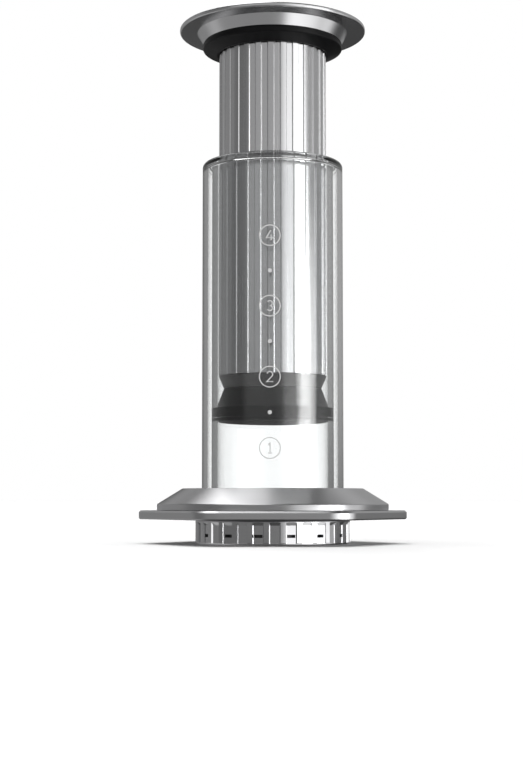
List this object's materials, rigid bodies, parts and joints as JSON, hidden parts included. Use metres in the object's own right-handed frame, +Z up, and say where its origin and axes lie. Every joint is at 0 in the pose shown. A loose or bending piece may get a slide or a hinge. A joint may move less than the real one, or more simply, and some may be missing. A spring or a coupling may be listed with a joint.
{
  "type": "piston coffee press",
  "caption": "Piston coffee press: fluted plunger in a double-walled glass chamber, on a hexagonal flange with a twist-lock filter cap.",
  "frame": {"origin": "centre of the filter cap's foot, on the surface that the press stands on", "axes": "+Z up along the plunger's axis; -Y towards the front, where the printed scale is; +X to the right seen from the front, through two corners of the hexagonal flange"},
  "size_m": [0.1322, 0.1188, 0.2579],
  "materials": {
    "glass": "clear, fire polished",
    "plunger_aluminium": "satin, fine turned or drawn grain",
    "flange_steel": "satin, bead blasted and brushed",
    "cap_steel": "satin",
    "seal_rubber": "matt, moulded",
    "bumper_silicone": "matt, moulded",
    "clear_silicone": "matt, translucent",
    "holder_polymer": "fine moulded texture",
    "lock_polymer": "fine moulded texture",
    "filter_paper": "uncoated"
  },
  "bodies": {
    "chamber": {"glass_chamber": "glass", "neck_gasket": "clear_silicone", "seat_gasket": "clear_silicone", "flange_cover": "flange_steel", "flange_plate": "flange_steel", "lock_ring": "lock_polymer"},
    "plunger": {"plunger_seal": "seal_rubber", "seal_holder": "holder_polymer", "lower_tube_seal": "seal_rubber", "plunger_tube": "plunger_aluminium", "upper_tube_seal": "seal_rubber", "bumper_ring": "bumper_silicone", "plunger_cap": "plunger_aluminium"},
    "filter_end": {"filter_cap": "cap_steel", "cap_liner": "lock_polymer", "paper_filter": "filter_paper"}
  },
  "joints": [
    {"name": "plunger_slide", "type": "slide", "parent": "chamber", "child": "plunger", "axis": [0, 0, 1], "range_m": [-0.05575, 0.13]},
    {"name": "filter_cap_twist", "type": "hinge", "parent": "chamber", "child": "filter_end", "pos_m": [0, 0, 0], "axis": [0, 0, -1], "range_deg": [0, 30]}
  ]
}
